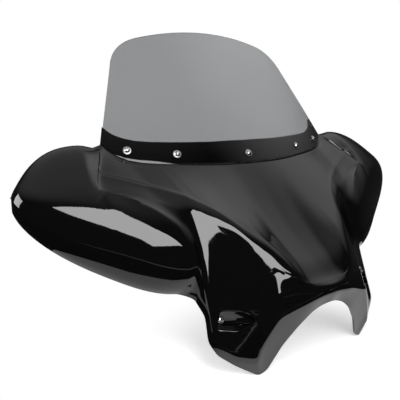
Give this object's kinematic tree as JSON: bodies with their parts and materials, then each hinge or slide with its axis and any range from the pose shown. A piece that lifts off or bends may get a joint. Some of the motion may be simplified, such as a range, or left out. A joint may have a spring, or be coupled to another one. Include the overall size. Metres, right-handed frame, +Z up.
{
  "type": "motorcycle fairing",
  "caption": "Bolt-on fork fairing: a glossy moulded shell with a headlight arch and swept pods, a smoked windshield on a ledge, and steel straps that bolt to fork clamps.",
  "frame": {"origin": "middle of the fork mount's hole pattern, on the middle plane of that pattern at the rear face of the bracket leaves", "axes": "+Z up, the fairing's front faces -Y, X across"},
  "size_m": [0.8378, 0.3836, 0.5482],
  "materials": {
    "shell_gloss": "high gloss black",
    "shield_smoke": "smoked acrylic",
    "screw_chrome": "polished",
    "washer_steel": "zinc plated",
    "nut_rubber": "matte moulded",
    "bracket_coat": "satin black powder coat"
  },
  "bodies": {
    "root": {"shell": "shell_gloss", "windshield": "shield_smoke", "shield_screw_1": "screw_chrome", "shield_screw_2": "screw_chrome", "shield_screw_3": "screw_chrome", "shield_screw_4": "screw_chrome", "shield_screw_5": "screw_chrome", "shield_washer_1": "washer_steel", "shield_washer_2": "washer_steel", "shield_washer_3": "washer_steel", "shield_washer_4": "washer_steel", "shield_washer_5": "washer_steel", "shield_nut_1": "nut_rubber", "shield_nut_2": "nut_rubber", "shield_nut_3": "nut_rubber", "shield_nut_4": "nut_rubber", "shield_nut_5": "nut_rubber", "leg_bolt_left": "screw_chrome", "leg_bolt_right": "screw_chrome", "leg_washer_left": "washer_steel", "leg_washer_right": "washer_steel", "leg_nut_left": "washer_steel", "leg_nut_right": "washer_steel", "mount_bracket_left": "bracket_coat", "mount_bracket_right": "bracket_coat"}
  },
  "joints": []
}
